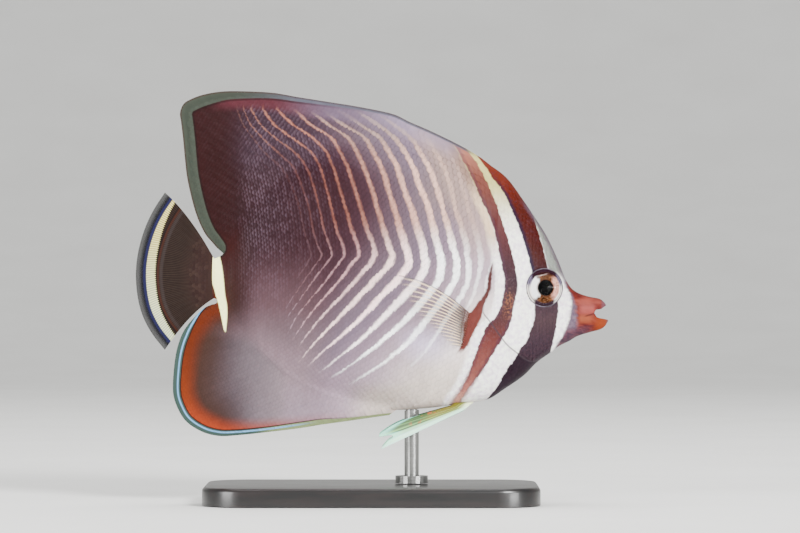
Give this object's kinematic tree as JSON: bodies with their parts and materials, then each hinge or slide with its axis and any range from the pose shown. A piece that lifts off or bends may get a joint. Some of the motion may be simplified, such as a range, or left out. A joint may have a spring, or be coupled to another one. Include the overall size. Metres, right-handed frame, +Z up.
{
  "type": "baroness butterflyfish model",
  "caption": "Life-size still model of a deep, flat reef fish with narrow chevron stripes, a short red snout and spread fins, held by one rod on a flat display base.",
  "frame": {"origin": "on the floor, at the middle of the stand base's flat underside, below the middle of the fish's length", "axes": "+X from the tail to the snout, +Y to the fish's left, +Z up"},
  "size_m": [0.13, 0.054, 0.113],
  "materials": {
    "flesh": "satin scaled skin, white and lilac with narrow purple-brown chevrons and dark bars on the head",
    "snout": "satin red-orange skin",
    "fin": "satin ribbed fin skin with coloured margins",
    "clear_fin": "thin translucent fin skin over pale rays",
    "eye": "clear dome over a black pupil and an orange-brown iris",
    "base": "satin dark lacquer",
    "steel": "fine brushed"
  },
  "bodies": {
    "root": {"head": "flesh", "upper_jaw": "snout", "lower_jaw": "snout", "torso": "flesh", "tail_stalk": "flesh", "tail_fin": "fin", "dorsal_fin_spines": "fin", "dorsal_fin_rays": "fin", "anal_fin_spines": "fin", "anal_fin_rays": "fin", "pectoral_fin_left": "clear_fin", "pectoral_fin_right": "clear_fin", "pelvic_fin_left": "clear_fin", "pelvic_fin_right": "clear_fin", "eye_left": "eye", "eye_right": "eye", "stand_base": "base", "stand_rod": "steel"}
  },
  "joints": []
}
